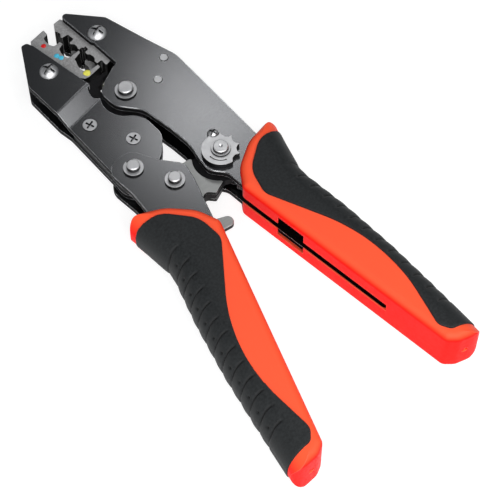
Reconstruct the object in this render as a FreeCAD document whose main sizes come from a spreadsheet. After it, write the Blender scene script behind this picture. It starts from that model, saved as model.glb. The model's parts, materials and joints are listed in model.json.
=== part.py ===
"""Ratchet crimping tool, lying flat with its star wheel upward.

The nose points along +Y, the fixed handle lies on the +X side and the moving handle on the -X side.
Outlines are given in the tool plane from the centre of the main pivot, in millimetres.
"""
import FreeCAD, Part
import math
import os
import Sketcher

os.makedirs("parts", exist_ok=True)
doc = FreeCAD.newDocument("crimping_tool")

# --------------------------------------------------------------------------- driving dimensions
SIZES = {
    "pivot_x": 1.4,             # main pivot, from the middle of the tool's box
    "pivot_y": 61.2,
    "mid_height": 11.0,         # mid-plane of the plates above the surface that the grips rest on
    "plate_thick": 2.5,
    "plate_level": 4.5,         # inner face of the frame and handle plates
    "jaw_level": 1.9,           # inner face of the jaw plates' tails
    "jaw_core_thick": 3.7,
    "die_thick": 8.9,
    "link_level": 1.5,          # inner face of the link plates
    "link_thick": 1.6,
    "sector_thick": 3.0,
    "spacer_thick": 9.0,
    "edge_break": 0.25,
    "main_pin_radius": 3.0,
    "small_pin_radius": 2.5,
    "pawl_pin_radius": 1.6,
    "spring_pin_radius": 1.0,
    "running_gap": 0.05,
    "open_pivot_gap": 1.25,     # extra radius of the jaw's hole where the linkage is opened
    "pin_stand": 2.9,           # how far a pin's end stands above its plate
    "ring_thick": 0.9,
    "eccentric_offset": 0.4,
    "eccentric_radius": 3.4,
    "journal_radius": 2.6,
    "wheel_thick": 1.9,
    "wheel_radius": 7.5,
    "notch_radius": 2.7,
    "notch_circle": 8.75,
    "lock_head_radius": 2.35,
    "die_screw_radius": 2.0,
    "die_head_radius": 3.9,
    "die_head_height": 2.3,
    "jaw_screw_radius": 1.5,
    "jaw_head_radius": 2.8,
    "rivet_radius": 1.6,
    "shell_half": 10.2,         # half thickness of a hard grip shell
    "overmould_half": 11.0,
    "overmould_thick": 1.7,
    "shell_round": 3.0,         # rounding of a shell's inner, head and tail edges
    "slot_half": 2.0,           # half width of the slot along a grip's inner side
    "fixed_angle": 11.3,        # lean of each grip's inner side from the Y axis
    "moving_angle": 14.8,
    "tail_length": 72.0,
    "pawl_thick": 2.2,
}

sheet = doc.addObject("Spreadsheet::Sheet", "sheet")
for row, (name, value) in enumerate(SIZES.items(), start=1):
    sheet.set(f"A{row}", name)
    sheet.set(f"B{row}", str(value))
    sheet.setAlias(f"B{row}", name)
doc.recompute()


def size(name):
    return float(sheet.get(name))


# Joint axes, in the tool plane.
MAIN = (0.0, 0.0)
JAW_PIN = (-18.5, -32.4)
LINK_PIN = (-8.9, -46.2)
ECCENTRIC = (12.9, -45.8)
LINK_EYE = (ECCENTRIC[0] + size("eccentric_offset"), ECCENTRIC[1])
PAWL = (-17.0, -66.0)
SPRING_LUG = (10.4, -52.9)
LINK_RIVET = (-12.0, -50.6)
FIXED_ORIGIN = (9.0, -64.0)
MOVING_ORIGIN = (-5.9, -70.7)
UPPER_SCREW = (7.2, 31.0)
LOWER_SCREW = (-19.0, 26.1)
LOCK_ANGLE = 74.5
NOTCH_STEP = 36.3
LOCK_SCREW = (
    ECCENTRIC[0] + size("notch_circle") * math.cos(math.radians(LOCK_ANGLE)),
    ECCENTRIC[1] + size("notch_circle") * math.sin(math.radians(LOCK_ANGLE)),
)
FRAME_RIVETS = [(21.5, 4.7), (13.4, -2.9)]
JAW_SCREWS = [(-19.7, -3.8), (-9.7, -19.2)]
TEETH_RADIUS = 15.8


def fixed_side(x, y, *rest):
    """A point beside the fixed grip: x outward from its inner side, y up along it."""
    turn = math.radians(size("fixed_angle"))
    return (
        FIXED_ORIGIN[0] + x * math.cos(turn) - y * math.sin(turn),
        FIXED_ORIGIN[1] + x * math.sin(turn) + y * math.cos(turn),
        *rest,
    )


def moving_side(x, y, *rest):
    """The same beside the moving grip, which is the mirror image."""
    turn = math.radians(size("moving_angle"))
    return (
        MOVING_ORIGIN[0] - x * math.cos(turn) + y * math.sin(turn),
        MOVING_ORIGIN[1] + x * math.sin(turn) + y * math.cos(turn),
        *rest,
    )


SPRING_ANCHOR = fixed_side(10.0, -12.0)
FIXED_RIVETS = [fixed_side(9.0, -41.0), fixed_side(8.5, -64.0)]
MOVING_RIVETS = [moving_side(9.0, -41.0), moving_side(8.5, -64.0)]


# --------------------------------------------------------------------------- sketches and bodies
def vec(point, z=0.0):
    return FreeCAD.Vector(point[0], point[1], z)


def corner_arc(before, corner, after, radius):
    """Start, middle and end of the arc that rounds one corner of an outline."""
    to_before = (before - corner).normalize()
    to_after = (after - corner).normalize()
    half = to_before.getAngle(to_after) / 2
    reach = radius / math.tan(half)
    bisector = (to_before + to_after).normalize()
    middle = corner + bisector * (radius / math.sin(half) - radius)
    return corner + to_before * reach, middle, corner + to_after * reach


def outline(corners):
    """Lines and tangent arcs of a closed outline given by (x, y) or (x, y, radius) corners."""
    points = [vec(c) for c in corners]
    spans = []
    for i, corner in enumerate(corners):
        if len(corner) > 2 and corner[2] > 0:
            before, after = points[i - 1], points[(i + 1) % len(points)]
            spans.append(corner_arc(before, points[i], after, corner[2]))
        else:
            spans.append((points[i], None, points[i]))
    edges = []
    for i, (start, middle, end) in enumerate(spans):
        if middle is not None:
            edges.append(Part.Arc(start, middle, end))
        following = spans[(i + 1) % len(spans)][0]
        if end.distanceToPoint(following) > 1e-4:
            edges.append(Part.LineSegment(end, following))
    return edges


def new_body(name):
    body = doc.addObject("PartDesign::Body", name)
    body.Label = name
    return body


def origin_plane(body, role):
    return next(f for f in body.Origin.OriginFeatures if f.Role == role)


def sketch_on(body, name, role="XY_Plane"):
    sketch = body.newObject("Sketcher::SketchObject", name)
    sketch.AttachmentSupport = [(origin_plane(body, role), "")]
    sketch.MapMode = "FlatFace"
    return sketch


def add_hole(sketch, centre, radius):
    """A circle whose radius follows a formula of the sheet."""
    index = sketch.addGeometry(Part.Circle(vec(centre), FreeCAD.Vector(0, 0, 1), 1.0))
    at = sketch.addConstraint(Sketcher.Constraint("Radius", index, 1.0))
    sketch.setExpression(f"Constraints[{at}]", radius)


def hole(centre, radius):
    return centre, radius


def plate(name, corners, holes, bottom, thick, role="XY_Plane"):
    """A flat piece: outline and holes padded from its lower face, all levels from the sheet."""
    body = new_body(name)
    sketch = sketch_on(body, f"{name}_outline", role)
    for edge in outline(corners):
        sketch.addGeometry(edge)
    for centre, radius in holes:
        add_hole(sketch, centre, radius)
    pad = body.newObject("PartDesign::Pad", f"{name}_pad")
    pad.Profile = sketch
    pad.setExpression("Length", thick)
    place(body, bottom)
    return body


def place(item, bottom):
    """Put a piece drawn from the main pivot at its level above the surface."""
    item.setExpression(".Placement.Base.x", "sheet.pivot_x")
    item.setExpression(".Placement.Base.y", "sheet.pivot_y")
    item.setExpression(".Placement.Base.z", f"sheet.mid_height + {bottom}")


def break_edges(body, level):
    """Small chamfer round the outline and holes of a flat piece, on the face at one level."""
    doc.recompute()
    pad = body.Tip
    names = []
    for number, edge in enumerate(pad.Shape.Edges, start=1):
        flat = edge.BoundBox.ZLength < 1e-6 and abs(edge.BoundBox.ZMin - level) < 1e-6
        if flat and edge.Length > 0.3:
            names.append(f"Edge{number}")
    chamfer = body.newObject("PartDesign::Chamfer", f"{body.Name}_edge")
    chamfer.Base = (pad, names)
    chamfer.setExpression("Size", "sheet.edge_break")


def turned(name, centre, profile, bottom):
    """A round piece: a closed (radius, height) profile turned about an upright axis."""
    body = new_body(name)
    sketch = sketch_on(body, f"{name}_profile", "XZ_Plane")
    for edge in outline(profile):
        sketch.addGeometry(edge)
    turn = body.newObject("PartDesign::Revolution", f"{name}_turn")
    turn.Profile = sketch
    turn.ReferenceAxis = (sketch, ["V_Axis"])
    turn.Angle = 360
    body.setExpression(".Placement.Base.x", f"sheet.pivot_x + {centre[0]}")
    body.setExpression(".Placement.Base.y", f"sheet.pivot_y + {centre[1]}")
    body.setExpression(".Placement.Base.z", f"sheet.mid_height + {bottom}")
    return body


def shape_piece(name, shape, bottom="0"):
    """A piece made directly from a shape drawn round the main pivot."""
    moved = shape.Placement.toMatrix()
    shape.Placement = FreeCAD.Placement()
    item = doc.addObject("Part::Feature", name)
    item.Label = name
    item.Shape = shape.transformed(moved, copy=True)
    place(item, bottom)
    return item


def cylinder(centre, radius, low, high):
    return Part.makeCylinder(radius, high - low, vec(centre, low))


def ring(centre, inner, outer, low, high):
    return cylinder(centre, outer, low, high).cut(cylinder(centre, inner, low - 1, high + 1))


def prism(corners, low, high):
    wire = Part.Wire([edge.toShape() for edge in outline(corners)])
    face = Part.Face(wire)
    face.translate(FreeCAD.Vector(0, 0, low))
    return face.extrude(FreeCAD.Vector(0, 0, high - low))


# --------------------------------------------------------------------------- fasteners and pins
def headed_pin(name, centre, radius, head, underside):
    """A pin with a rounded head behind the rear plate and a snap-ring groove at the front."""
    r, face, end = radius, PLATE_TOP + 0.02, PLATE_TOP + size("pin_stand")
    groove_end, floor, chamfer = face + size("ring_thick") + 0.04, radius - 0.5, 0.35
    profile = [
        (0, -underside), (head, -underside, 1.2), (head, -face, 0.2), (r, -face), (r, face),
        (floor, face), (floor, groove_end), (r, groove_end), (r, end - chamfer), (r - chamfer, end), (0, end),
    ]
    return turned(name, centre, profile, "0")


def snap_ring(centre, pin_radius, outer, low, opening_angle):
    """An open retaining ring that sits in a pin's groove."""
    high = low + size("ring_thick")
    body = ring(centre, pin_radius - 0.48, outer, low, high)
    gap = Part.makeBox(outer + 1, pin_radius * 1.2, 3, FreeCAD.Vector(0, -pin_radius * 0.6, low - 1))
    gap.rotate(FreeCAD.Vector(), FreeCAD.Vector(0, 0, 1), opening_angle)
    gap.translate(vec(centre))
    return body.cut(gap)


def snap_rings(name, rings):
    """One node for identical rings: (centre, pin radius, outer radius, level, opening angle)."""
    return shape_piece(name, Part.makeCompound([snap_ring(*item) for item in rings]))


def cross_recess(centre, radius, top, depth):
    """The cross-shaped driver pocket of a screw head."""
    arm, reach = radius * 0.28, radius * 0.72
    bar = Part.makeBox(2 * reach, arm, depth + 1, FreeCAD.Vector(-reach, -arm / 2, top - depth))
    cross = bar.copy()
    cross.rotate(FreeCAD.Vector(), FreeCAD.Vector(0, 0, 1), 90)
    pocket = bar.fuse(cross)
    pocket.rotate(FreeCAD.Vector(), FreeCAD.Vector(0, 0, 1), 25)
    pocket.translate(vec(centre))
    return pocket


def pan_screw(centre, shank, head, height, seat, tip):
    """A cross-head screw: domed head above its seat, shank down to its tip."""
    dome_radius = (head * head + height * height) / (2 * height)
    dome = Part.makeSphere(dome_radius, vec(centre, seat + height - dome_radius))
    solid = cylinder(centre, head, seat, seat + height).common(dome)
    solid = solid.fuse(cylinder(centre, shank, tip, seat)).removeSplitter()
    return solid.cut(cross_recess(centre, head, seat + height, height * 0.6))


def flush_screw(centre, shank, head, seat, top, tip):
    """A screw whose cross-head is let into the front plate and stands barely proud of it."""
    solid = cylinder(centre, head, seat, top).fuse(cylinder(centre, shank, tip, seat)).removeSplitter()
    return solid.cut(cross_recess(centre, head * 0.95, top, 1.2))


# --------------------------------------------------------------------------- frame
PLATE_TOP = size("plate_level") + size("plate_thick")
FRONT_LEVEL = "sheet.plate_level"
REAR_LEVEL = "-sheet.plate_level - sheet.plate_thick"


def frame_outline(nose, die_edge):
    """A frame plate from its nose clockwise; die_edge runs up behind the dies from the pivot's lobe."""
    return [
        *nose, (14.6, 36.0, 2.5), (21.1, 17.8, 20), (26.6, 3.5, 14),
        fixed_side(23.0, 12.5, 10), fixed_side(17.0, -13.0, 12), fixed_side(14.4, -58.0, 30),
        fixed_side(12.6, -72.0, 4),
        fixed_side(1.6, -72.0, 3), fixed_side(1.6, 0.0, 4), (9.2, -55.2, 5), (3.9, -50.0, 5),
        (4.2, -43.5, 8), (5.3, -35.5, 20), (3.7, -25.5, 30), (0.4, -11.5, 9), (-7.4, -3.6, 7),
        (-8.6, 5.0, 4), (-3.6, 9.4, 5), (2.2, 12.9, 3), *die_edge,
    ]


def make_frame_plates():
    """Two plates from the nose to the tail inside the fixed grip; the rear one backs the dies."""
    beside_die = frame_outline([(-0.43, 50.0, 1.65)], [(5.0, 14.0, 0.8), (3.4, 28.0, 0.8), (2.6, 29.2, 0.8)])
    behind_die = frame_outline(
        [(-4.2, 41.6, 1.0), (1.2, 48.4, 1.2)],
        [
            (2.6, 15.6, 0.8), (0.3, 17.2, 0.8), (-2.0, 24.8, 0.5), (-2.0, 28.6, 0.2), (-3.0, 28.8, 0.3),
            (-3.1, 36.9, 0.3), (-4.3, 38.4, 0.5),
        ],
    )
    holes = [
        hole(MAIN, "sheet.main_pin_radius"),
        hole(ECCENTRIC, "sheet.journal_radius + sheet.running_gap"),
        hole(UPPER_SCREW, "sheet.die_screw_radius"),
        hole(SPRING_ANCHOR, "sheet.spring_pin_radius"),
    ]
    holes += [hole(at, "sheet.rivet_radius") for at in FRAME_RIVETS + FIXED_RIVETS]
    front_holes = [*holes, hole(LOCK_SCREW, "sheet.jaw_screw_radius")]
    front = plate("frame_plate_front", beside_die, front_holes, FRONT_LEVEL, "sheet.plate_thick")
    rear = plate("frame_plate_rear", behind_die, holes, REAR_LEVEL, "sheet.plate_thick")
    break_edges(front, size("plate_thick"))
    break_edges(rear, 0.0)


def make_frame_spacers():
    """The block behind the dies and the strip between the plates' tails."""
    block = [
        (16.6, 16.8, 1.5), (20.4, 16.6, 1.5), (25.3, 3.4, 8), (25.6, -9.0, 3), (13.0, -8.6, 4),
        (9.4, -3.4, 3), (10.6, 4.6, 4), (15.0, 11.0, 4),
    ]
    holes = [hole(at, "sheet.rivet_radius") for at in FRAME_RIVETS]
    plate("frame_spacer", block, holes, "-sheet.spacer_thick / 2", "sheet.spacer_thick")
    strip = [
        fixed_side(12.8, -36.0, 3), fixed_side(11.0, -69.5, 3),
        fixed_side(5.0, -69.5, 2), fixed_side(5.0, -36.0, 3),
    ]
    holes = [hole(at, "sheet.rivet_radius") for at in FIXED_RIVETS]
    plate("frame_tail_spacer", strip, holes, "-sheet.spacer_thick / 2", "sheet.spacer_thick")


def flat_rivets(name, places, proud):
    """Identical rivets through a pair of plates, one solid each."""
    radius, half = size("rivet_radius"), PLATE_TOP + proud
    shape_piece(name, Part.makeCompound([cylinder(at, radius, -half, half) for at in places]))


def make_main_pivot():
    pin, low = size("main_pin_radius"), PLATE_TOP + 0.02
    headed_pin("main_pivot_pin", MAIN, pin, 4.6, size("overmould_half"))
    snap_rings("main_pivot_ring", [(MAIN, pin, 4.35, low, 75.0)])
    inner, edge = size("jaw_core_thick") / 2 + 0.05, size("plate_level")
    shape_piece("main_pivot_spacers", Part.makeCompound([
        ring(MAIN, pin + 0.02, 6.4, inner, edge), ring(MAIN, pin + 0.02, 6.4, -edge, -inner),
    ]))


# --------------------------------------------------------------------------- dies
def upper_die_outline():
    """Pockets for the lower die's fingers on the left, plain back between the frame plates."""
    return [
        (0.6, 46.6), (0.0, 47.8), (-3.4, 47.2), (-5.2, 43.6, 0.2), (-4.4, 42.9), (-3.9, 41.4, 0.5),
        (-4.9, 39.6, 0.3), (-4.4, 39.2), (-1.8, 39.3), (-1.5, 37.7), (-1.1, 36.0), (-2.4, 35.4, 0.2),
        (-3.4, 35.4, 0.4), (-3.7, 34.5, 0.4), (-2.4, 33.6, 0.5), (-2.1, 32.0, 1.0), (-2.5, 30.6, 0.5),
        (-2.1, 30.2), (-0.9, 30.4), (-0.2, 29.7), (0.6, 30.2), (0.7, 28.1, 0.3), (-1.1, 27.5, 0.4),
        (-1.1, 26.2, 0.4), (-0.2, 25.5, 0.5), (0.4, 23.7, 1.5), (0.1, 22.4, 0.5), (-0.6, 21.3, 0.6),
        (-0.3, 20.0, 0.3), (1.6, 20.4), (2.0, 20.1), (2.0, 17.6, 0.3), (2.6, 17.3, 0.3), (4.6, 18.0, 0.6),
        (14.4, 17.2, 1.0), (14.6, 31.0, 2), (11.4, 36.6, 1),
    ]


def lower_die_outline():
    """A comb of four fingers; between them lie the three nests."""
    return [
        (-15.9, 45.0, 0.3), (-8.5, 46.9, 0.3), (-8.4, 44.3, 0.2), (-10.7, 43.3, 0.3), (-11.0, 41.5, 0.5),
        (-10.6, 39.0, 0.5), (-9.6, 37.6, 0.4), (-8.6, 37.5, 0.3), (-6.6, 37.9),
        (-6.1, 36.4), (-8.6, 35.1, 0.3),
        (-9.2, 32.8, 0.8), (-9.1, 30.9, 1.0), (-8.3, 29.3, 0.8), (-6.9, 28.9, 0.5), (-5.7, 29.3, 0.3),
        (-2.8, 29.65), (-2.9, 28.6), (-6.5, 27.1, 0.3), (-6.7, 25.6, 0.5),
        (-7.3, 23.6, 1.0), (-7.4, 21.5, 1.0),
        (-6.9, 20.0, 0.8), (-5.5, 18.9, 0.8), (-4.1, 18.7, 0.3), (-0.6, 19.2, 0.2), (-0.4, 17.8, 0.2),
        (-6.7, 16.2, 0.8), (-8.6, 16.4, 1.2), (-10.0, 17.9, 0.6), (-24.2, 14.6, 1), (-26.6, 24.8, 2),
        (-21.3, 40.4, 1.5), (-17.0, 41.4, 0.4), (-16.5, 43.4, 0.2),
    ]


def wire_side():
    """Behind mid-thickness the upper die's nests are narrower, for the bare wire's crimp."""
    middle = [
        (-1.5, 34.6, 0.3), (-3.7, 34.9, 0.5), (-4.3, 33.2, 0.8), (-4.1, 31.4, 0.8), (-3.3, 30.5, 0.3),
        (-1.5, 30.5),
    ]
    inner = [
        (1.2, 27.5), (-1.9, 27.1, 0.4), (-2.9, 25.8, 0.8), (-2.5, 23.8, 1.0), (-2.9, 22.0, 0.6),
        (-2.2, 21.0, 0.4), (1.2, 20.8),
    ]
    half = size("die_thick") / 2
    return Part.makeCompound([prism(middle, -half, 0.0), prism(inner, -half, 0.0)])


def die_screw(name, centre, head_seat, tip):
    solid = pan_screw(
        centre, size("die_screw_radius"), size("die_head_radius"), size("die_head_height"), head_seat, tip,
    )
    shape_piece(name, solid)


def make_dies():
    hole_radius = "sheet.die_screw_radius"
    for name, corners, screw in [
        ("upper_die", upper_die_outline(), UPPER_SCREW),
        ("lower_die", lower_die_outline(), LOWER_SCREW),
    ]:
        plain = "_plain" if name == "upper_die" else ""
        plate(name + plain, corners, [hole(screw, hole_radius)], "-sheet.die_thick / 2", "sheet.die_thick")
        die_screw(f"{name}_screw", screw, PLATE_TOP, -PLATE_TOP - 0.6)
    steps = shape_piece("upper_die_steps", wire_side())
    stepped = doc.addObject("Part::MultiFuse", "upper_die")
    stepped.Label = "upper_die"
    stepped.Shapes = [doc.getObject("upper_die_plain"), steps]


# --------------------------------------------------------------------------- jaw
BEND_ANGLE = 16.0
RAMP_LOW, RAMP_HIGH = 7.1, 14.4


def jaw_outline(heel):
    """The plates differ only at the heel of the nose, where the rear one is cut back."""
    return [
        (-17.0, 40.4, 0.8), (-18.5, 43.3, 1.3), (-21.1, 43.4, 1.5), (*heel, 4), (-26.7, -2.0, 60),
        (-25.2, -28.0, 20), (-25.3, -39.2, 6.8), (-14.4, -39.0, 6), (-11.4, -36.0, 4), (-5.2, -31.6, 5),
        (0.7, -24.0, 7), (-0.1, -14.0, 6), (-2.6, -10.05, 1.2), (-12.78, -5.29, 10.2), (-9.1, 4.9, 0.5),
        (-12.0, 5.6, 2.2), (-11.4, 10.9, 2.2), (-9.4, 11.2, 0.6), (-10.3, 13.6, 2),
    ]


def joggle_profile(side):
    """Section of a jaw plate along its length: tail level, ramp, nose level."""
    thick, low, high = size("plate_thick"), size("jaw_level"), size("plate_level")
    points = [
        (-60.0, low), (RAMP_LOW, low, 3), (RAMP_HIGH, high, 3), (60.0, high),
        (60.0, high + thick), (RAMP_HIGH, high + thick, 3), (RAMP_LOW, low + thick, 3), (-60.0, low + thick),
    ]
    return [(x, side * z, *rest) for x, z, *rest in points]


def make_jaw_plate(name, side, heel, screw_radius):
    """A plate pressed to two levels: the plan outline and the stepped section in common."""
    blank = new_body(f"{name}_blank")
    plan = sketch_on(blank, f"{name}_plan")
    for edge in outline(jaw_outline(heel)):
        plan.addGeometry(edge)
    add_hole(plan, LOWER_SCREW, "sheet.die_screw_radius")
    add_hole(plan, JAW_PIN, "sheet.small_pin_radius + sheet.running_gap + sheet.open_pivot_gap")
    for at in JAW_SCREWS:
        add_hole(plan, at, screw_radius)
    pad = blank.newObject("PartDesign::Pad", f"{name}_plan_pad")
    pad.Profile = plan
    pad.Length = 20
    pad.Midplane = True

    strip = new_body(f"{name}_strip")
    section = sketch_on(strip, f"{name}_section", "YZ_Plane")
    for edge in outline(joggle_profile(side)):
        section.addGeometry(edge)
    pad = strip.newObject("PartDesign::Pad", f"{name}_section_pad")
    pad.Profile = section
    pad.Length = 120
    pad.Midplane = True
    strip.Placement.Rotation = FreeCAD.Rotation(FreeCAD.Vector(0, 0, 1), BEND_ANGLE)

    pressed = doc.addObject("Part::MultiCommon", name)
    pressed.Label = name
    pressed.Shapes = [blank, strip]
    place(pressed, "0")


def make_jaw_core():
    """The middle layer: it carries the main pivot's eye and fills the jaw's tail."""
    corners = [
        (-26.2, -1.6, 0.5), (-24.9, -28.0, 20), (-25.0, -38.9, 6.6), (-14.4, -38.7, 6), (-11.4, -35.7, 4),
        (-5.4, -31.4, 5), (0.4, -24.0, 7), (-0.3, -12.4, 2), (7.0, -7.0, 6.2), (7.0, 7.0, 6.9),
        (-3.4, 7.2, 2.0), (-6.2, 8.2, 0.4), (-5.6, 12.0, 0.4), (-3.8, 12.0, 0.4), (-1.7, 14.3, 0.4),
        (0.9, 14.6, 0.8), (1.3, 16.6, 0.8), (-2.2, 15.9, 0.8), (-8.4, 15.7, 1),
        (-10.4, 13.6, 3), (-12.2, 6.0, 3),
    ]
    holes = [
        hole(MAIN, "sheet.main_pin_radius + sheet.running_gap"),
        hole(JAW_PIN, "sheet.small_pin_radius + sheet.running_gap + sheet.open_pivot_gap"),
    ]
    holes += [hole(at, "sheet.jaw_screw_radius") for at in JAW_SCREWS]
    plate("jaw_core", corners, holes, "-sheet.jaw_core_thick / 2", "sheet.jaw_core_thick")


def make_jaw():
    make_jaw_plate("jaw_plate_front", 1, (-29.5, 24.7), "sheet.jaw_head_radius")
    make_jaw_plate("jaw_plate_rear", -1, (-28.9, 26.2), "sheet.jaw_screw_radius")
    make_jaw_core()
    face = size("jaw_level") + size("plate_thick")
    shank, head = size("jaw_screw_radius"), size("jaw_head_radius")
    screws = [flush_screw(at, shank, head, size("jaw_level"), face + 0.35, -face) for at in JAW_SCREWS]
    shape_piece("jaw_screws", Part.makeCompound(screws))


# --------------------------------------------------------------------------- toggle link
def link_outline():
    """Round end on the link pin; the hollow upper side is concentric with the eccentric pin."""
    return [
        (3.7, -39.2, 0.8), (-2.45, -49.2, 10.4), (7.4, -55.0, 0.5), (1.9, -57.9, 0.6), (-1.2, -55.1, 1.8),
        (-4.2, -57.3, 1.5), (-8.4, -53.2, 1.0), (-15.9, -53.2, 6.9), (-15.9, -39.2, 6.9),
    ]


def make_link_plates():
    holes = [
        hole(LINK_PIN, "sheet.small_pin_radius + sheet.running_gap"),
        hole(LINK_RIVET, "sheet.spring_pin_radius"),
    ]
    plate("link_plate_front", link_outline(), holes, "sheet.link_level", "sheet.link_thick")
    plate(
        "link_plate_rear", link_outline(), holes, "-sheet.link_level - sheet.link_thick", "sheet.link_thick",
    )


FIRST_TOOTH, TOOTH_PITCH, TEETH = -125.0, 6.25, 8
TOOTH_DEPTH = 1.9


def round_pin(angle, radius):
    """A point at an angle and radius from the link pin."""
    turn = math.radians(angle)
    return LINK_PIN[0] + radius * math.cos(turn), LINK_PIN[1] + radius * math.sin(turn)


def make_ratchet_sector():
    """The middle layer of the link: teeth round the link pin, eye on the eccentric pin."""
    teeth = []
    for number in range(TEETH):
        start = FIRST_TOOTH + number * TOOTH_PITCH
        teeth += [round_pin(start, TEETH_RADIUS - TOOTH_DEPTH), round_pin(start + 4.0, TEETH_RADIUS)]
    corners = [
        (5.0, -39.2, 4), (-15.9, -39.2, 6.9), (-15.9, -53.2, 3),
        *teeth, (-3.9, -57.4, 0.4), (-1.2, -55.4, 1.8),
        (1.6, -57.3, 0.4), (8.4, -54.6, 1.5), (13.0, -56.2, 1.5), (15.4, -52.3, 3), (19.8, -52.0, 6.0),
        (19.8, -38.0, 7.0),
    ]
    holes = [
        hole(LINK_PIN, "sheet.small_pin_radius + sheet.running_gap"),
        hole(LINK_EYE, "sheet.eccentric_radius + sheet.running_gap"),
        hole(SPRING_LUG, "sheet.spring_pin_radius"),
        hole(LINK_RIVET, "sheet.spring_pin_radius"),
    ]
    plate("ratchet_sector", corners, holes, "-sheet.sector_thick / 2", "sheet.sector_thick")


def make_link_rivet():
    half = size("link_level") + size("link_thick")
    shape_piece("link_rivet", cylinder(LINK_RIVET, size("spring_pin_radius"), -half, half))


def make_link_spacers():
    """Rings that centre the link between the handle plates and between the frame plates."""
    gap, edge = 0.05, size("plate_level")
    pin, pin_low = size("small_pin_radius") + 0.02, size("link_level") + size("link_thick") + gap
    shape_piece("link_pin_spacers", Part.makeCompound([
        ring(LINK_PIN, pin, 4.6, pin_low, edge), ring(LINK_PIN, pin, 4.6, -edge, -pin_low),
    ]))
    core, core_low = size("eccentric_radius") + 0.02, size("sector_thick") / 2 + gap
    shape_piece("eccentric_spacers", Part.makeCompound([
        ring(LINK_EYE, core, 6.2, core_low, edge - gap), ring(LINK_EYE, core, 6.2, gap - edge, -core_low),
    ]))


# --------------------------------------------------------------------------- eccentric adjuster
def make_eccentric_pin():
    """Round head, journals in the plates and a thicker off-centre middle that carries the link."""
    journal, top = size("journal_radius"), PLATE_TOP
    wheel_top = top + size("wheel_thick") + 0.05
    inner = size("plate_level") - 0.05
    solid = cylinder(ECCENTRIC, journal, -top - 1.6, wheel_top)
    solid = solid.fuse(cylinder(LINK_EYE, size("eccentric_radius"), -inner, inner))
    boss, boss_top = 2.95, wheel_top + 1.7
    solid = solid.fuse(cylinder(ECCENTRIC, 3.75, wheel_top, wheel_top + 0.7))
    solid = solid.fuse(cylinder(ECCENTRIC, boss, wheel_top + 0.7, boss_top))
    solid = solid.fuse(Part.makeCone(boss, boss - 0.3, 0.3, vec(ECCENTRIC, boss_top))).removeSplitter()
    groove = ring(ECCENTRIC, journal - 0.5, journal + 1, -top - 1.0, -top - 0.02)
    dimple = Part.makeCone(0.1, 0.8, 0.45, vec(ECCENTRIC, boss_top - 0.15))
    shape_piece("eccentric_pin", solid.cut(groove).cut(dimple))


def make_star_wheel():
    """A disc with five round notches, the lock screw's head in the first, and a stamped arc."""
    low = PLATE_TOP + 0.05
    high = low + size("wheel_thick")
    disc = cylinder(ECCENTRIC, size("wheel_radius"), low, high)
    arc = ring(ECCENTRIC, 5.2, 5.75, high - 0.3, high + 1)
    sector = [ECCENTRIC, (ECCENTRIC[0] - 12.0, ECCENTRIC[1] - 1.0), (ECCENTRIC[0] - 2.5, ECCENTRIC[1] - 12.0)]
    disc = disc.cut(arc.common(prism(sector, low, high + 2)))
    for number in range(5):
        turn = math.radians(LOCK_ANGLE - number * NOTCH_STEP)
        reach = size("notch_circle")
        centre = (ECCENTRIC[0] + reach * math.cos(turn), ECCENTRIC[1] + reach * math.sin(turn))
        disc = disc.cut(cylinder(centre, size("notch_radius"), low - 1, low + 5))
    shape_piece("star_wheel", disc.cut(cylinder(ECCENTRIC, size("journal_radius"), low - 1, low + 5)))


def make_adjuster():
    make_eccentric_pin()
    make_star_wheel()
    low = -PLATE_TOP - 0.04 - size("ring_thick")
    snap_rings("eccentric_pin_ring", [(ECCENTRIC, size("journal_radius"), 4.0, low, 75.0)])
    shank, head, tip = size("jaw_screw_radius"), size("lock_head_radius"), size("plate_level") + 0.1
    shape_piece("lock_screw", pan_screw(LOCK_SCREW, shank, head, 2.0, PLATE_TOP, tip))


# --------------------------------------------------------------------------- handle
def handle_outline(waist, foot):
    """The plates differ only along their outer edge, below the jaw pin."""
    return [
        (*foot, 8), (*waist, 30), (-26.7, -32.0, 6), (-26.6, -25.0, 6.6), (-14.6, -24.4, 6.2),
        (-8.6, -34.2, 16), (-1.3, -41.6, 5), (-2.3, -49.4, 8), moving_side(1.6, 0.0, 4),
        moving_side(1.6, -72.0, 3), moving_side(12.6, -72.0, 4),
        moving_side(14.4, -58.0, 30), moving_side(17.0, -13.0, 12),
    ]


def make_handle_plates():
    holes = [
        hole(JAW_PIN, "sheet.small_pin_radius"), hole(LINK_PIN, "sheet.small_pin_radius"),
        hole(PAWL, "sheet.pawl_pin_radius"),
    ]
    holes += [hole(at, "sheet.rivet_radius") for at in MOVING_RIVETS]
    front_edge = handle_outline((-25.3, -42.0), (-25.5, -52.6))
    rear_edge = handle_outline((-25.0, -42.0), (-24.0, -53.0))
    front = plate("handle_plate_front", front_edge, holes, FRONT_LEVEL, "sheet.plate_thick")
    rear = plate("handle_plate_rear", rear_edge, holes, REAR_LEVEL, "sheet.plate_thick")
    break_edges(front, size("plate_thick"))
    break_edges(rear, 0.0)


def make_handle_pins():
    pin, low = size("small_pin_radius"), PLATE_TOP + 0.02
    headed_pin("jaw_pin", JAW_PIN, pin, 4.0, PLATE_TOP + 2.6)
    headed_pin("link_pin", LINK_PIN, pin, 4.0, PLATE_TOP + 2.6)
    snap_rings("handle_pin_rings", [(JAW_PIN, pin, 3.95, low, 80.0), (LINK_PIN, pin, 3.95, low, 60.0)])
    shape_piece("pawl_pin", cylinder(PAWL, size("pawl_pin_radius"), -PLATE_TOP, PLATE_TOP))


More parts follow.
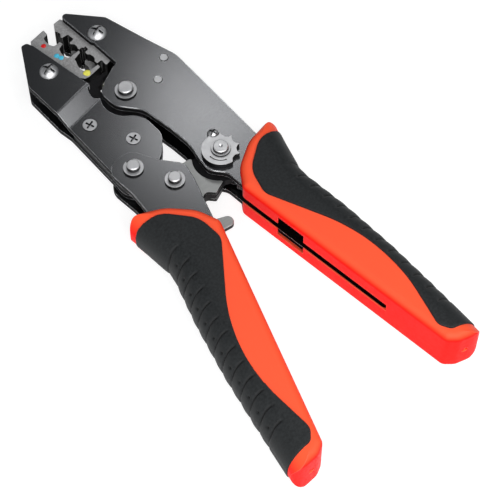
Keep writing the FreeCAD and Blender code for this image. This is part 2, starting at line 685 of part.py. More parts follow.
def make_handle_tail():
    strip = [
        moving_side(12.8, -36.0, 3), moving_side(11.0, -69.5, 3),
        moving_side(5.0, -69.5, 2), moving_side(5.0, -36.0, 3),
    ]
    holes = [hole(at, "sheet.rivet_radius") for at in MOVING_RIVETS]
    plate("handle_tail_spacer", strip, holes, "-sheet.spacer_thick / 2", "sheet.spacer_thick")
    flat_rivets("handle_tail_rivets", MOVING_RIVETS, 0.0)


# --------------------------------------------------------------------------- pawl
def make_pawl():
    """Ratchet pawl: its nose stands just clear of the teeth, its tail is the release lever."""
    nose = math.radians(-101.0)
    reach = TEETH_RADIUS + 0.2
    tip = (LINK_PIN[0] + reach * math.cos(nose), LINK_PIN[1] + reach * math.sin(nose))
    corners = [
        (-20.2, -66.6, 3.0), (-18.6, -62.4, 2.5), (-14.4, -63.6, 0.8), (tip[0] - 0.7, tip[1] - 0.6), tip,
        (tip[0] + 1.2, tip[1] - 1.4, 0.3), (-9.4, -66.0, 1.5), (-4.0, -66.5, 1), (0.8, -68.0, 2.2),
        (0.8, -72.4, 2.2), (-5.5, -72.0, 1), (-12.0, -69.9, 2), (-19.0, -70.0, 3.0),
    ]
    holes = [hole(PAWL, "sheet.pawl_pin_radius + sheet.running_gap")]
    body = plate("release_pawl", corners, holes, "-sheet.pawl_thick / 2", "sheet.pawl_thick")
    break_edges(body, size("pawl_thick"))


def coil(centre, radius, wire, turns, low):
    """A close spring body: a helix of round wire with an upright axis."""
    pitch = wire * 1.12
    path = Part.makeHelix(pitch, pitch * turns, radius)
    profile = Part.Wire(Part.makeCircle(wire / 2, FreeCAD.Vector(radius, 0, 0), FreeCAD.Vector(0, 1, 0)))
    solid = Part.Wire(path.Edges).makePipeShell([profile], True, True)
    solid.translate(vec(centre, low))
    return solid


def make_pawl_spring():
    """Torsion spring round the pawl pin, in the space beside the pawl, with two straight legs."""
    wire, radius, turns, leg = 0.6, size("pawl_pin_radius") + 0.75, 2.75, 3.0
    low = size("pawl_thick") / 2 + 0.45
    high = low + wire * 1.12 * turns
    first = Part.makeCylinder(wire / 2, leg, vec((radius, 0), low), FreeCAD.Vector(1, 0, 0))
    last = Part.makeCylinder(wire / 2, leg, vec((0, -radius), high), FreeCAD.Vector(0, -1, 0))
    solid = coil((0, 0), radius, wire, turns, low).multiFuse([first, last])
    solid.translate(vec(PAWL))
    shape_piece("pawl_spring", solid)


# --------------------------------------------------------------------------- return spring
def make_return_spring():
    """Extension spring from the link's lug pin to the anchor pin in the frame."""
    shape_piece(
        "spring_anchor_pin", cylinder(SPRING_ANCHOR, size("spring_pin_radius"), -PLATE_TOP, PLATE_TOP),
    )
    run = vec(SPRING_ANCHOR) - vec(SPRING_LUG)
    span, wire, coil_radius = run.Length, 0.8, 2.1
    start, end = 5.2, span - 3.8
    along = FreeCAD.Vector(1, 0, 0)
    body = coil((0, 0), coil_radius, wire, int((end - start) / (wire * 1.12)), 0.0)
    body.rotate(FreeCAD.Vector(), FreeCAD.Vector(0, 1, 0), 90)
    body.translate(along * start)
    upright = Part.makeTorus(2.4, wire / 2, along * 2.15, FreeCAD.Vector(0, 1, 0))
    flat = Part.makeTorus(1.6, wire / 2, along * span)
    pieces = [upright, flat]
    for low, high in [(4.5, start + 0.3), (end - 0.3, span - 1.6)]:
        pieces.append(Part.makeCylinder(wire / 2, high - low, along * low, along))
    for at in (start + 0.3, end - 0.3):
        pieces.append(Part.makeCylinder(wire / 2, coil_radius, along * at, FreeCAD.Vector(0, 0, 1)))
    spring = body.multiFuse(pieces)
    spring.rotate(FreeCAD.Vector(), FreeCAD.Vector(0, 0, 1), math.degrees(math.atan2(run.y, run.x)))
    spring.translate(vec(SPRING_LUG))
    shape_piece("return_spring", spring)


# --------------------------------------------------------------------------- grips
OUTER_SIDE = [
    (36.4, 18.0), (28.8, 1.6, 12), (23.4, -11.0, 18), (22.8, -34.0, 90), (20.8, -58.0, 90), (18.0, -79.0, 90),
    (12.9, -113.0),
]


def grip_outline():
    """Whole grip in its own plane: x outward from the inner side, y up towards the head."""
    return [
        (0.0, -1.0, 3.4), (6.5, 6.6, 14), (17.5, 11.9, 16), (29.3, 13.0, 5), (33.3, 9.6, 3.4), OUTER_SIDE[1],
        *OUTER_SIDE[2:-1], (13.9, -105.8, 3.6), (8.6, -105.2, 10), (3.2, -102.9, 5), (0.0, -99.4, 3.4),
    ]


def overmould_outline():
    """The soft area, reaching out beyond the outer side."""
    return [
        (38.4, 4.0), (29.7, 7.6, 3.2), (19.8, 8.6, 11), (7.3, 1.5, 12), (2.8, -9.5, 6.5), (17.4, -55.9, 70),
        (2.3, -93.5, 4.5), (4.3, -98.3, 3), (24.0, -105.4), (44.0, -34.0),
    ]


def tail_cavity():
    """Room for the pair of plates inside a grip."""
    return [
        (0.5, 20.0), (26.0, 20.0), (24.4, 12.5, 10), (17.2, -13.0, 12), (14.6, -58.0, 30),
        (12.8, -72.2, 4.2), (0.5, -72.2, 2.5),
    ]


def side_slot():
    return [(-5.0, 12.0), (3.0, 12.0), (3.0, -72.0), (-5.0, -72.0)]


def open_path(corners):
    """A smooth open wire through (x, y, radius) corners."""
    closed = outline([*corners, (-60.0, corners[-1][1]), (-60.0, corners[0][1])])
    return Part.Wire(Part.__sortEdges__([edge.toShape() for edge in closed[:-3]]))


def barrel(half, wall):
    """Grip body with a round outer side, a wall inside the outline, swept along the outer side."""
    start, following = vec(OUTER_SIDE[0]), vec(OUTER_SIDE[1])
    ahead = (following - start).normalize()
    inward = FreeCAD.Vector(ahead.y, -ahead.x, 0)
    if inward.x > 0:
        inward = inward * -1
    radius = half - 0.9
    section = outline([(wall, -half, radius), (45.0, -half), (45.0, half), (wall, half, radius)])
    frame = FreeCAD.Matrix(
        inward.x, 0, ahead.x, start.x, inward.y, 0, ahead.y, start.y, 0, 1, 0, 0, 0, 0, 0, 1,
    )
    edges = [edge.toShape().transformGeometry(frame) for edge in section]
    pipe = Part.BRepOffsetAPI.MakePipeShell(open_path(OUTER_SIDE))
    pipe.setBiNormalMode(FreeCAD.Vector(0, 0, 1))
    pipe.add(Part.Wire(Part.__sortEdges__(edges)))
    pipe.build()
    pipe.makeSolid()
    return pipe.shape()


def rounded_slab():
    """The shell's slab with rounded inner, head and tail edges."""
    half = size("shell_half")
    slab = prism(grip_outline(), -half, half)
    level = [e for e in slab.Edges if e.BoundBox.ZLength < 1e-6]
    top = [e for e in level if e.BoundBox.ZMin > 0]
    bottom = [e for e in level if e.BoundBox.ZMin < 0]
    return slab.makeFillet(size("shell_round"), top).makeFillet(size("shell_round") / 2, bottom)


def grip_shapes():
    """The hard shell and the soft overmould of one grip, in the grip's own plane."""
    half, soft, thick = size("shell_half"), size("overmould_half"), size("overmould_thick")
    area = prism(overmould_outline(), -soft - 1, soft + 1)
    seat = barrel(soft - thick, thick + 0.3)
    overmould = prism(grip_outline(), -soft, soft).common(area).common(barrel(soft, 0.0)).cut(seat)
    shell = rounded_slab().common(barrel(half + 0.1, 0.4)).cut(area.cut(seat))
    plates = PLATE_TOP + 0.02
    shell = shell.cut(prism(tail_cavity(), -plates, plates))
    shell = shell.cut(prism(side_slot(), -size("slot_half"), size("slot_half")))
    window = prism([(-5.0, -18.7), (1.6, -18.7), (1.6, -31.6), (-5.0, -31.6)], -5.8, 6.2)
    dimple = Part.makeCylinder(1.3, 3.0, FreeCAD.Vector(5.9, -106.5, -0.3), FreeCAD.Vector(0, 1, 0))
    return shell.cut(window).cut(dimple).removeSplitter(), overmould.removeSplitter()


def make_grips():
    shell, overmould = grip_shapes()
    flip = FreeCAD.Vector(1, 0, 0)
    for name, mirrored, origin, lean in [
        ("fixed_grip", False, FIXED_ORIGIN, size("fixed_angle")),
        ("moving_grip", True, MOVING_ORIGIN, -size("moving_angle")),
    ]:
        for suffix, source in [("", shell), ("_overmould", overmould)]:
            solid = source.mirror(FreeCAD.Vector(), flip) if mirrored else source.copy()
            solid.rotate(FreeCAD.Vector(), FreeCAD.Vector(0, 0, 1), lean)
            solid.translate(vec(origin))
            shape_piece(name + suffix, solid)


# --------------------------------------------------------------------------- assembly and export
make_frame_plates()
make_frame_spacers()
flat_rivets("frame_rivets", FRAME_RIVETS, 0.25)
flat_rivets("frame_tail_rivets", FIXED_RIVETS, 0.0)
make_main_pivot()
make_dies()
make_jaw()
make_link_plates()
make_ratchet_sector()
make_link_rivet()
make_link_spacers()
make_adjuster()
make_handle_plates()
make_handle_pins()
make_handle_tail()
make_pawl()
make_pawl_spring()
make_return_spring()
make_grips()
doc.recompute()

HELPERS = ("_blank", "_strip", "_plain", "_steps")
failed = [o.Name for o in doc.Objects if "Invalid" in o.State or "Error" in o.State]
if failed:
    raise RuntimeError(f"features failed: {failed}")

PIECE_TYPES = ("PartDesign::Body", "Part::Feature", "Part::MultiCommon", "Part::MultiFuse")
pieces = [
    o for o in doc.Objects
    if o.TypeId in PIECE_TYPES and not o.Name.endswith(HELPERS)
]
for piece in pieces:
    if piece.Shape.isNull() or not piece.Shape.isValid() or not piece.Shape.Solids:
        raise RuntimeError(f"bad shape: {piece.Label}")
for piece in pieces:
    piece.Shape.exportStep(f"parts/{piece.Label}.step")

box = FreeCAD.BoundBox()
for piece in pieces:
    box.add(piece.Shape.BoundBox)
corners = (box.XMin, box.YMin, box.ZMin, box.XMax, box.YMax, box.ZMax)
print(len(pieces), "pieces, box", [round(v, 2) for v in corners])
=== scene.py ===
"""Looks of the ratchet crimping tool: finishes, moulded grips, return spring, paint dots, light, camera.

Lengths are metres in the row frame. MM turns millimetres of the drawing into metres.
"""
import json
import math

import bmesh
import bpy
import numpy as np
from mathutils import Matrix, Vector


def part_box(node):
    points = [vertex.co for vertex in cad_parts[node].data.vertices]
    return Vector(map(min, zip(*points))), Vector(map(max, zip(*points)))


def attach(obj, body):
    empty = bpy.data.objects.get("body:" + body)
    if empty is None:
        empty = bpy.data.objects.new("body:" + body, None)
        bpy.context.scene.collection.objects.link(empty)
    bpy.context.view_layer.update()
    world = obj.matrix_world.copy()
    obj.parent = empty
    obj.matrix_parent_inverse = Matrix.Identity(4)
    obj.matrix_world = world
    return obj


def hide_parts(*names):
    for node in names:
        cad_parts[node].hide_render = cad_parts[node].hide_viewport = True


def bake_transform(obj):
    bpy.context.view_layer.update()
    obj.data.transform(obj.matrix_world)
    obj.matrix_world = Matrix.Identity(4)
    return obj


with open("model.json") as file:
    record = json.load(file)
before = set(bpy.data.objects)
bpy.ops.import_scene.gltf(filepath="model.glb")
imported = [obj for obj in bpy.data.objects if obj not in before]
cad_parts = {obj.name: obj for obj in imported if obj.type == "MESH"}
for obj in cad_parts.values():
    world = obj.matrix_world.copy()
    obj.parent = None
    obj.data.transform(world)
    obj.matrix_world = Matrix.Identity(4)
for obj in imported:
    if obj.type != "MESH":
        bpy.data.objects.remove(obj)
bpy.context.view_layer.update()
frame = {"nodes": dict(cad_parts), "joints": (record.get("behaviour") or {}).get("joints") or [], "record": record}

MM = 0.001
SHARP_ANGLE = math.radians(32)
JOINTS = {joint["name"]: joint for joint in frame["joints"]}
PIVOT = Vector(JOINTS["jaw_close"]["pos_m"])        # centre of the main pivot, mid-plane of the plates

# Each grip's own plane, from the main pivot: x points outward, y up along its inner side.
FIXED_GRIP = {"origin": (9.0, -64.0), "lean": 11.3, "side": 1}
MOVING_GRIP = {"origin": (-5.9, -70.7), "lean": -14.8, "side": -1}


# --------------------------------------------------------------------------- small helpers
def on_tool(x, y, z=0.0):
    """A point given in millimetres from the main pivot."""
    return PIVOT + Vector((x, y, z)) * MM


def smooth_step(value, low, high):
    t = np.clip((value - low) / (high - low), 0.0, 1.0)
    return t * t * (3.0 - 2.0 * t)


def link(obj):
    bpy.context.scene.collection.objects.link(obj)
    return obj


def apply_modifiers(obj):
    """Bakes an object's modifiers into a mesh of its own."""
    bpy.context.view_layer.update()
    evaluated = obj.evaluated_get(bpy.context.evaluated_depsgraph_get())
    mesh = bpy.data.meshes.new_from_object(evaluated)
    obj.modifiers.clear()
    obj.data = mesh
    return obj


# --------------------------------------------------------------------------- node-based finishes
class Finish:
    """A material under construction, with short names for the nodes that the finishes share."""

    def __init__(self, name):
        self.material = bpy.data.materials.new(name)
        self.material.use_nodes = True
        self.tree = self.material.node_tree
        self.shader = self.tree.nodes["Principled BSDF"]

    def node(self, kind, inputs=(), **settings):
        made = self.tree.nodes.new(kind)
        for key, value in settings.items():
            setattr(made, key, value)
        for socket, value in dict(inputs).items():
            self.feed(made.inputs[socket], value)
        return made

    def feed(self, socket, value):
        if isinstance(value, bpy.types.NodeSocket):
            self.tree.links.new(value, socket)
        else:
            socket.default_value = value

    def set(self, **values):
        for key, value in values.items():
            self.feed(self.shader.inputs[key.replace("_", " ")], value)

    def place(self):
        return self.node("ShaderNodeTexCoord").outputs["Object"]

    def noise(self, scale, detail=3.0, stretch=None):
        where = self.place()
        if stretch:
            where = self.node("ShaderNodeMapping", {"Vector": where, "Scale": stretch}).outputs[0]
        made = self.node("ShaderNodeTexNoise", {"Vector": where, "Scale": scale, "Detail": detail})
        return made.outputs["Fac"]

    def span(self, value, low, high, to_low=0.0, to_high=1.0):
        made = self.node("ShaderNodeMapRange", interpolation_type="SMOOTHSTEP")
        for index, number in enumerate((value, low, high, to_low, to_high)):
            self.feed(made.inputs[index], number)
        return made.outputs[0]

    def math(self, operation, a, b=0.0):
        made = self.node("ShaderNodeMath", operation=operation)
        self.feed(made.inputs[0], a)
        self.feed(made.inputs[1], b)
        return made.outputs[0]

    def mix(self, factor, a, b):
        """Colours by factor."""
        made = self.node("ShaderNodeMix", data_type="RGBA")
        self.feed(made.inputs[0], factor)
        for socket, colour in ((made.inputs[6], a), (made.inputs[7], b)):
            self.feed(socket, (*colour, 1.0) if isinstance(colour, tuple) else colour)
        return made.outputs[2]

    def upright(self, low, high):
        """1 on faces that look up or down, 0 on the walls between them."""
        normal = self.node("ShaderNodeNewGeometry").outputs["Normal"]
        height = self.node("ShaderNodeSeparateXYZ", {"Vector": normal}).outputs["Z"]
        return self.span(self.math("ABSOLUTE", height), low, high)

    def edges(self, radius, sharpness=0.06):
        """1 along edges, found where a rounded normal leaves the face's own normal."""
        rounded = self.node("ShaderNodeBevel", {"Radius": radius}, samples=6).outputs[0]
        normal = self.node("ShaderNodeNewGeometry").outputs["Normal"]
        dot = self.node("ShaderNodeVectorMath", operation="DOT_PRODUCT")
        self.feed(dot.inputs[0], rounded)
        self.feed(dot.inputs[1], normal)
        return self.span(dot.outputs["Value"], 1.0, 1.0 - sharpness, 0.0, 1.0)

    def hollow_shade(self, reach):
        """1 in tight hollows such as screw slots and the gap under a pin's rim, 0 in the open: a mask for painted
        shade.
        """
        made = self.node("ShaderNodeAmbientOcclusion", {"Distance": reach}, samples=8)
        return self.span(made.outputs["AO"], 0.35, 0.85, 1.0, 0.0)

    def edge_wear_and_highlight(self, radius, sharpness=0.06, patch=350.0):
        """Edge wear broken up by noise; the same mask lightens edges as a painted highlight."""
        return self.math("MULTIPLY", self.edges(radius, sharpness), self.span(self.noise(patch), 0.2, 0.55))

    def relief(self, height, strength, distance, radius=0.0):
        """Bump from a height, over softly rounded edges when a radius is given."""
        made = self.node("ShaderNodeBump", {"Height": height, "Strength": strength, "Distance": distance})
        if radius:
            rounded = self.node("ShaderNodeBevel", {"Radius": radius}, samples=6).outputs[0]
            self.feed(made.inputs["Normal"], rounded)
        self.feed(self.shader.inputs["Normal"], made.outputs[0])


def black_oxide():
    """Blackened sheet: satin faces; matt sheared walls, painted near black as painted shade; bare steel worn along
    the edges, lightened further as a painted highlight.
    """
    f = Finish("black_oxide_steel")
    face = f.upright(0.35, 0.6)
    cloud = f.noise(45.0, 4.0)
    shade = f.mix(f.span(cloud, 0.3, 0.7), (0.142, 0.144, 0.149), (0.152, 0.154, 0.159))
    # painted shade: walls that face sideways are coloured near black
    colour = f.mix(face, (0.004, 0.004, 0.0045), shade)
    # edges: bare-steel wear, lightened further as a painted highlight
    colour = f.mix(f.math("MULTIPLY", f.edge_wear_and_highlight(0.26 * MM), 0.95), colour, (0.85, 0.86, 0.88))
    f.set(Base_Color=colour, Metallic=face, Specular_IOR_Level=0.15)
    grain = f.noise(1400.0, 2.0)
    f.set(Roughness=f.math("ADD", f.span(face, 0.0, 1.0, 0.7, 0.24), f.span(grain, 0.3, 0.7, -0.01, 0.015)))
    f.relief(grain, 0.02, 0.02 * MM, 0.14 * MM)
    return f.material


def dark_steel():
    """Matt black inner parts."""
    f = Finish("dark_steel")
    grain = f.noise(900.0, 3.0)
    colour = f.mix(f.span(grain, 0.3, 0.7), (0.006, 0.006, 0.007), (0.014, 0.014, 0.015))
    f.set(Base_Color=colour, Roughness=f.span(grain, 0.3, 0.7, 0.55, 0.7), Specular_IOR_Level=0.2)
    f.relief(grain, 0.15, 0.05 * MM)
    return f.material


def die_steel():
    """Phosphated sintered steel: grainy grey faces; nest walls painted near black as painted shade; rims
    lightened, partly polish and partly a painted highlight.
    """
    f = Finish("die_steel")
    face = f.upright(0.5, 0.8)
    grain = f.noise(1600.0, 4.0)
    cloud = f.noise(160.0, 3.0)
    speck = f.mix(f.span(grain, 0.35, 0.65), (0.33, 0.325, 0.325), (0.48, 0.48, 0.48))
    shade = f.mix(f.span(cloud, 0.3, 0.7, 0.0, 0.4), speck, (0.53, 0.53, 0.53))
    # painted shade: walls that face sideways, the nests' walls among them, are coloured near black
    colour = f.mix(face, (0.004, 0.004, 0.004), shade)
    # rims: polish plus a painted highlight
    colour = f.mix(f.math("MULTIPLY", f.edges(0.16 * MM), 0.6), colour, (0.75, 0.75, 0.75))
    f.set(Base_Color=colour, Metallic=f.span(face, 0.0, 1.0, 0.0, 0.45), Specular_IOR_Level=0.15)
    f.set(Roughness=f.span(grain, 0.3, 0.7, 0.42, 0.58))
    f.relief(grain, 0.15, 0.05 * MM, 0.1 * MM)
    return f.material


def bright_nickel():
    """Nickel plate over turned steel; its sides painted dark as painted shade, its edges lightened as a painted
    highlight, its hollows painted near black as painted shade.
    """
    f = Finish("bright_nickel")
    face = f.upright(0.2, 0.75)
    cloud = f.noise(220.0, 3.0)
    shade = f.mix(f.span(cloud, 0.3, 0.7), (0.70, 0.70, 0.71), (0.78, 0.78, 0.79))
    # painted shade: sides that face sideways are coloured dark
    colour = f.mix(face, (0.035, 0.035, 0.037), shade)
    # painted highlight: edges lightened
    colour = f.mix(f.math("MULTIPLY", f.edges(0.12 * MM), 0.4), colour, (0.9, 0.9, 0.9))
    # painted shade: tight hollows coloured near black
    colour = f.mix(f.hollow_shade(0.7 * MM), colour, (0.004, 0.004, 0.004))
    f.set(Base_Color=colour, Metallic=1.0, Roughness=f.span(f.noise(400.0), 0.3, 0.7, 0.42, 0.5))
    f.relief(f.noise(400.0, 2.0), 0.03, 0.02 * MM, 0.15 * MM)
    return f.material


def ground_steel():
    """Blanked and tumbled sheet; its walls painted near black as painted shade, its edges lightened by wear and a
    painted highlight.
    """
    f = Finish("ground_steel")
    face = f.upright(0.35, 0.7)
    streaks = f.noise(90.0, 4.0, (1.0, 8.0, 1.0))
    shade = f.mix(f.span(streaks, 0.3, 0.7), (0.30, 0.305, 0.30), (0.36, 0.365, 0.36))
    # painted shade: walls that face sideways are coloured near black
    colour = f.mix(face, (0.005, 0.005, 0.005), shade)
    # edges: wear plus a painted highlight
    colour = f.mix(f.math("MULTIPLY", f.edge_wear_and_highlight(0.2 * MM), 0.7), colour, (0.7, 0.7, 0.7))
    f.set(Base_Color=colour, Metallic=f.span(face, 0.0, 1.0, 0.0, 0.8), Specular_IOR_Level=0.15)
    f.set(Roughness=f.span(streaks, 0.3, 0.7, 0.34, 0.44))
    f.relief(f.noise(1500.0, 2.0), 0.1, 0.04 * MM, 0.12 * MM)
    return f.material


def spring_wire():
    f = Finish("spring_wire")
    colour = f.mix(f.span(f.noise(700.0), 0.3, 0.7), (0.07, 0.07, 0.075), (0.14, 0.14, 0.145))
    f.set(Base_Color=colour, Metallic=0.9, Roughness=f.span(f.noise(1200.0), 0.3, 0.7, 0.3, 0.45))
    f.relief(f.noise(1800.0), 0.1, 0.03 * MM)
    return f.material


def hard_orange():
    """Moulded plastic: orange on faces that look front or back, painted deeper red down the side walls as painted
    shade; a pink painted highlight along the edges.
    """
    f = Finish("hard_orange")
    face = f.upright(0.15, 0.95)
    # painted shade: walls that face sideways are coloured deeper red
    colour = f.mix(face, (0.97, 0.006, 0.003), (0.98, 0.10, 0.038))
    cloud = f.noise(60.0, 3.0)
    colour = f.mix(f.span(cloud, 0.3, 0.8, 0.0, 0.06), colour, (0.86, 0.06, 0.03))
    # painted highlight: pink along the edges, broken up by noise
    colour = f.mix(f.math("MULTIPLY", f.edge_wear_and_highlight(0.3 * MM), 0.3), colour, (1.0, 0.36, 0.26))
    f.set(Base_Color=colour, Roughness=f.span(f.noise(700.0), 0.3, 0.7, 0.38, 0.48))
    f.set(Specular_IOR_Level=f.span(face, 0.0, 1.0, 0.06, 0.12))
    f.relief(f.noise(1300.0, 3.0), 0.12, 0.05 * MM, 0.25 * MM)
    return f.material


def soft_black():
    """Thermoplastic rubber with a fine spark-eroded grain, darkened down in its moulded grooves and dimples as
    painted shade.
    """
    f = Finish("soft_black")
    grain = f.noise(1100.0, 4.0)
    groove = f.node("ShaderNodeAttribute", attribute_name="groove").outputs["Fac"]
    shade = f.mix(f.span(grain, 0.3, 0.7), (0.0125, 0.0138, 0.0146), (0.021, 0.0232, 0.0245))
    # painted shade: grooves and dimples coloured near black
    colour = f.mix(groove, shade, (0.003, 0.003, 0.003))
    f.set(Base_Color=colour, Roughness=f.span(grain, 0.3, 0.7, 0.52, 0.66), Specular_IOR_Level=0.22)
    f.relief(grain, 0.25, 0.06 * MM)
    return f.material


def paint(name, colour):
    f = Finish(name)
    thin = tuple(0.85 * part for part in colour)
    f.set(Base_Color=f.mix(f.span(f.noise(900.0), 0.35, 0.7), thin, colour), Roughness=0.35)
    f.relief(f.noise(1200.0), 0.15, 0.05 * MM)
    return f.material


FINISHES = {
    "black_oxide_steel": black_oxide(), "die_steel": die_steel(), "bright_nickel": bright_nickel(),
    "dark_steel": dark_steel(), "ground_steel": ground_steel(), "spring_wire": spring_wire(),
    "hard_orange": hard_orange(), "soft_black": soft_black(),
}


def dress_nodes():
    """Every CAD node takes its slot's finish, shaded smooth up to SHARP_ANGLE."""
    for part in frame["record"]["subparts"]:
        obj = frame["nodes"][part["node"]]
        obj.data.materials.clear()
        obj.data.materials.append(FINISHES[part["material_slot"]])
        obj.data.shade_smooth()
        obj.data.set_sharp_from_angle(angle=SHARP_ANGLE)


# --------------------------------------------------------------------------- soft overmoulds
TILE_PITCH, TILES = 6.69, 12
FIRST_TILE = 12.6               # from the grip's origin down to the first tile's middle
GROOVE_DEPTH, GROOVE_WIDTH = 0.55, 0.38
DIMPLE_DEPTH, DIMPLE_WIDTH = 0.5, 0.55
DIMPLE_ANGLE = math.radians(33)
CROWN = 0.2                     # how much lower a tile's ends lie than its middle
SWEEP = 2.4                     # how far a groove climbs from the outer side to the flat
SWEEP_SPAN = (math.radians(8), math.radians(66))    # round the grip, where a groove climbs
DEEPER_SPAN = (math.radians(4), math.radians(30))   # and where it grows to its full depth
OUTER_DEPTH = 0.65              # of a groove along the outermost line, as a share of the full depth
OUTWARD_SPAN = (0.25, 0.5)      # how far outward the skin faces where the pattern fades in
ROUND_RADIUS = 10.0             # of the grip's outer side, roughly
SKIN_VOXEL = 0.28 * MM


def grip_axes(grip):
    """Outward and upward unit vectors of a grip and its origin, in the row frame."""
    lean = math.radians(grip["lean"])
    up = Vector((-math.sin(lean), math.cos(lean), 0.0))
    outward = Vector((math.cos(lean), math.sin(lean), 0.0)) * grip["side"]
    return on_tool(*grip["origin"]), outward, up


def fine_skin(node, voxel):
    """An even, fine mesh with the shape of a CAD node."""
    obj = link(bpy.data.objects.new(f"{node}_skin", frame["nodes"][node].data.copy()))
    weld = obj.modifiers.new("weld", "WELD")
    weld.merge_threshold = 0.001 * MM
    remesh = obj.modifiers.new("remesh", "REMESH")
    remesh.mode, remesh.voxel_size = "VOXEL", voxel
    return apply_modifiers(obj)


def carve_tiles(obj, grip):
    """Scalloped tiles along the round outer side: grooves between them, a dimple in each."""
    mesh = obj.data
    count = len(mesh.vertices)
    points, normals = np.empty(count * 3), np.empty(count * 3)
    mesh.vertices.foreach_get("co", points)
    mesh.vertex_normals.foreach_get("vector", normals)
    points, normals = points.reshape(-1, 3), normals.reshape(-1, 3)
    origin, outward, up = (np.array(v) for v in grip_axes(grip))

    down = -((points - origin) @ up) / MM - FIRST_TILE
    facing = normals @ outward
    angle = np.arctan2(normals[:, 2], facing)
    side = smooth_step(facing, *OUTWARD_SPAN)
    climb = SWEEP * smooth_step(np.abs(angle), *SWEEP_SPAN)
    along = (down + climb) / TILE_PITCH + 0.5
    nearest = np.round(along)
    gap = (along - nearest) * TILE_PITCH
    inside = smooth_step(down, -1.1 * TILE_PITCH, -0.6 * TILE_PITCH)
    inside *= smooth_step(-down, -(TILES - 0.3) * TILE_PITCH, -(TILES - 0.6) * TILE_PITCH)
    groove = np.exp(-(gap / GROOVE_WIDTH) ** 2) * side * inside
    groove *= OUTER_DEPTH + (1.0 - OUTER_DEPTH) * smooth_step(np.abs(angle), *DEEPER_SPAN)
    crown = CROWN * np.cos(np.pi * gap / TILE_PITCH) ** 2 * side * inside

    tile = np.clip(np.round(down / TILE_PITCH), 0, TILES - 1)
    across = (np.abs(angle) - DIMPLE_ANGLE) * ROUND_RADIUS
    reach = np.hypot(down - tile * TILE_PITCH, across)
    dimple = np.exp(-(reach / DIMPLE_WIDTH) ** 2) * side
    depth = GROOVE_DEPTH * groove + DIMPLE_DEPTH * dimple + crown
    points -= normals * (depth * MM)[:, None]
    mesh.vertices.foreach_set("co", points.ravel())
    # where the grooves and dimples lie, read by the rubber finish to paint shade into them
    shade = mesh.attributes.new("groove", "FLOAT", "POINT")
    shade.data.foreach_set("value", np.clip(0.9 * groove + dimple, 0, 1).astype(np.float32))
    mesh.update()


def make_overmould(node, body, grip):
    obj = fine_skin(node, SKIN_VOXEL)
    smoothing = obj.modifiers.new("smooth", "SMOOTH")
    smoothing.factor, smoothing.iterations = 0.5, 6
    apply_modifiers(obj)
    carve_tiles(obj, grip)
    obj.data.shade_smooth()
    obj.data.materials.clear()
    obj.data.materials.append(FINISHES["soft_black"])
    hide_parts(node)
    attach(obj, body)


# --------------------------------------------------------------------------- return spring
def make_return_spring():
    """The coil stretches between its anchor pin on the frame and its eye in the toothed sector."""
    obj = link(bpy.data.objects.new("return_spring_coil", frame["nodes"]["return_spring"].data.copy()))
    obj.data.materials.clear()
    obj.data.materials.append(FINISHES["spring_wire"])
    obj.data.shade_smooth()
    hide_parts("return_spring")
    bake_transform(obj)


# --------------------------------------------------------------------------- paint dots
DOT_RINGS, DOT_STEPS = 6, 40
DOT_DOME = 0.14
DOT_RIM = (0.97, -0.02)         # the lowest ring: its share of the radius and its height, under the face


def paint_blob(name, colour, centres, radius, body):
    """Drops of colour-code paint on the die's face: low domes with a slightly uneven rim."""
    built = bmesh.new()
    top = (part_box("lower_die")[1].z - PIVOT.z) / MM
    for number, (x, y) in enumerate(centres):
        rows = []
        shares = [n / DOT_RINGS for n in range(1, DOT_RINGS + 1)]
        for share, height in [*((s, DOT_DOME * (1.0 - s ** 2)) for s in shares), DOT_RIM]:
            row = []
            for step in range(DOT_STEPS):
                turn = 2.0 * math.pi * step / DOT_STEPS
                uneven = 1.0 + 0.05 * math.sin(3 * turn + number) + 0.03 * math.sin(5 * turn + 2 * number)
                reach = radius * share * uneven
                row.append(built.verts.new(
                    on_tool(x + reach * math.cos(turn), y + reach * math.sin(turn), top + height)))
            rows.append(row)
        crown = built.verts.new(on_tool(x, y, top + DOT_DOME))
        for step in range(DOT_STEPS):
            after = (step + 1) % DOT_STEPS
            built.faces.new((crown, rows[0][step], rows[0][after]))
            for inner, outer in zip(rows, rows[1:]):
                built.faces.new((inner[step], outer[step], outer[after], inner[after]))
        built.faces.new(rows[-1][::-1])
    mesh = bpy.data.meshes.new(name)
    built.to_mesh(mesh)
    built.free()
    mesh.shade_smooth()
    obj = link(bpy.data.objects.new(name, mesh))
    mesh.materials.append(paint(name, colour))
    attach(obj, body)


def make_paint_dots():
    paint_blob("red_dot", (0.88, 0.012, 0.012), [(-12.85, 40.06)], 1.05, "jaw")
    paint_blob("blue_dots", (0.10, 0.66, 0.92), [(-11.3, 32.7), (-10.5, 30.9)], 1.15, "jaw")
    paint_blob("yellow_dot", (0.98, 0.93, 0.14), [(-6.4, 18.3)], 1.55, "jaw")


# --------------------------------------------------------------------------- studio
VIEW_TARGET = Vector((-0.593, -23.534, 11.0)) * MM
VIEW_DISTANCE, VIEW_ELEVATION = 0.637, math.radians(58.0)
VIEW_HEADING = Vector((0.59482, 0.80386, 0.0))


def make_camera():
    data = bpy.data.cameras.new("camera")
    data.lens, data.sensor_width = 122.4, 36.0
    data.clip_start, data.clip_end = 0.01, 20.0
    camera = link(bpy.data.objects.new("camera", data))
    back = VIEW_HEADING * math.cos(VIEW_ELEVATION) - Vector((0, 0, math.sin(VIEW_ELEVATION)))
    camera.location = VIEW_TARGET - back * VIEW_DISTANCE
    camera.rotation_euler = back.to_track_quat("-Z", "Y").to_euler()
    bpy.context.scene.camera = camera


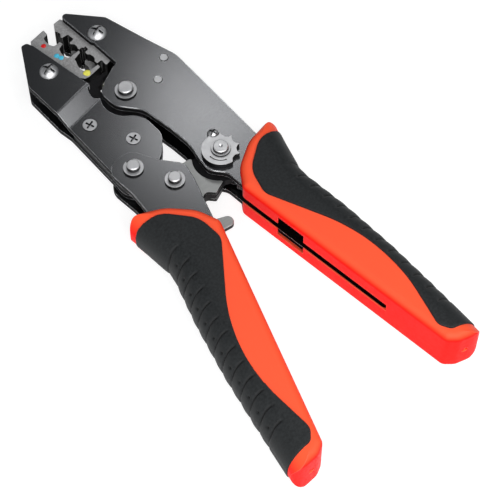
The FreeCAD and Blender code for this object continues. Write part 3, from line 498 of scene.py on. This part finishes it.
def softbox(name, place, aim, width, height, radiance):
    """A rectangular lamp whose face has the given radiance."""
    data = bpy.data.lights.new(name, "AREA")
    data.shape, data.size, data.size_y = "RECTANGLE", width, height
    data.energy = radiance * math.pi * width * height
    lamp = link(bpy.data.objects.new(name, data))
    lamp.location = place
    lamp.rotation_euler = (Vector(aim) - Vector(place)).to_track_quat("-Z", "Y").to_euler()
    lamp.visible_camera = False
    return lamp


def make_studio():
    """A wide overhead box, a smaller one whose soft reflection lies across the plates, and fills."""
    softbox("overhead", (0.03, -0.27, 0.30), (0.03, -0.20, 0.0), 0.60, 0.36, 2.0)
    softbox("plate_gleam", (0.142, 0.204, 0.30), (0.02, 0.036, 0.0), 0.08, 0.07, 4.1)
    softbox("ramp_gleam", (0.076, 0.044, 0.30), (-0.02, 0.08, 0.0), 0.09, 0.07, 3.6)
    softbox("high_fill", (-0.26, -0.34, 0.45), (0.0, -0.02, 0.0), 0.5, 0.5, 2.2)
    softbox("front_fill", (-0.40, -0.45, 0.20), (0.0, 0.0, 0.0), 0.5, 0.30, 1.1)
    softbox("left_strip", (-0.55, 0.15, 0.16), (-0.02, 0.0, 0.01), 0.4, 0.2, 0.8)
    world = bpy.data.worlds.new("studio")
    world.use_nodes = True
    background = world.node_tree.nodes["Background"]
    background.inputs["Color"].default_value = (0.9, 0.95, 1.0, 1.0)
    background.inputs["Strength"].default_value = 0.12
    bpy.context.scene.world = world
    bpy.context.scene.view_settings.view_transform = "Standard"


def make_floor():
    mesh = bpy.data.meshes.new("floor")
    built = bmesh.new()
    bmesh.ops.create_grid(built, x_segments=4, y_segments=4, size=3.0)
    built.to_mesh(mesh)
    built.free()
    floor = link(bpy.data.objects.new("floor", mesh))
    f = Finish("pale_floor")
    f.set(Base_Color=(0.35, 0.35, 0.35, 1.0), Roughness=0.9, Specular_IOR_Level=0.05)
    f.set(Emission_Color=(1.0, 1.0, 1.0, 1.0), Emission_Strength=0.8)
    mesh.materials.append(f.material)


# --------------------------------------------------------------------------- assembly
dress_nodes()
make_overmould("fixed_grip_overmould", "frame", FIXED_GRIP)
make_overmould("moving_grip_overmould", "handle", MOVING_GRIP)
make_return_spring()
make_paint_dots()
make_floor()
make_studio()
make_camera()
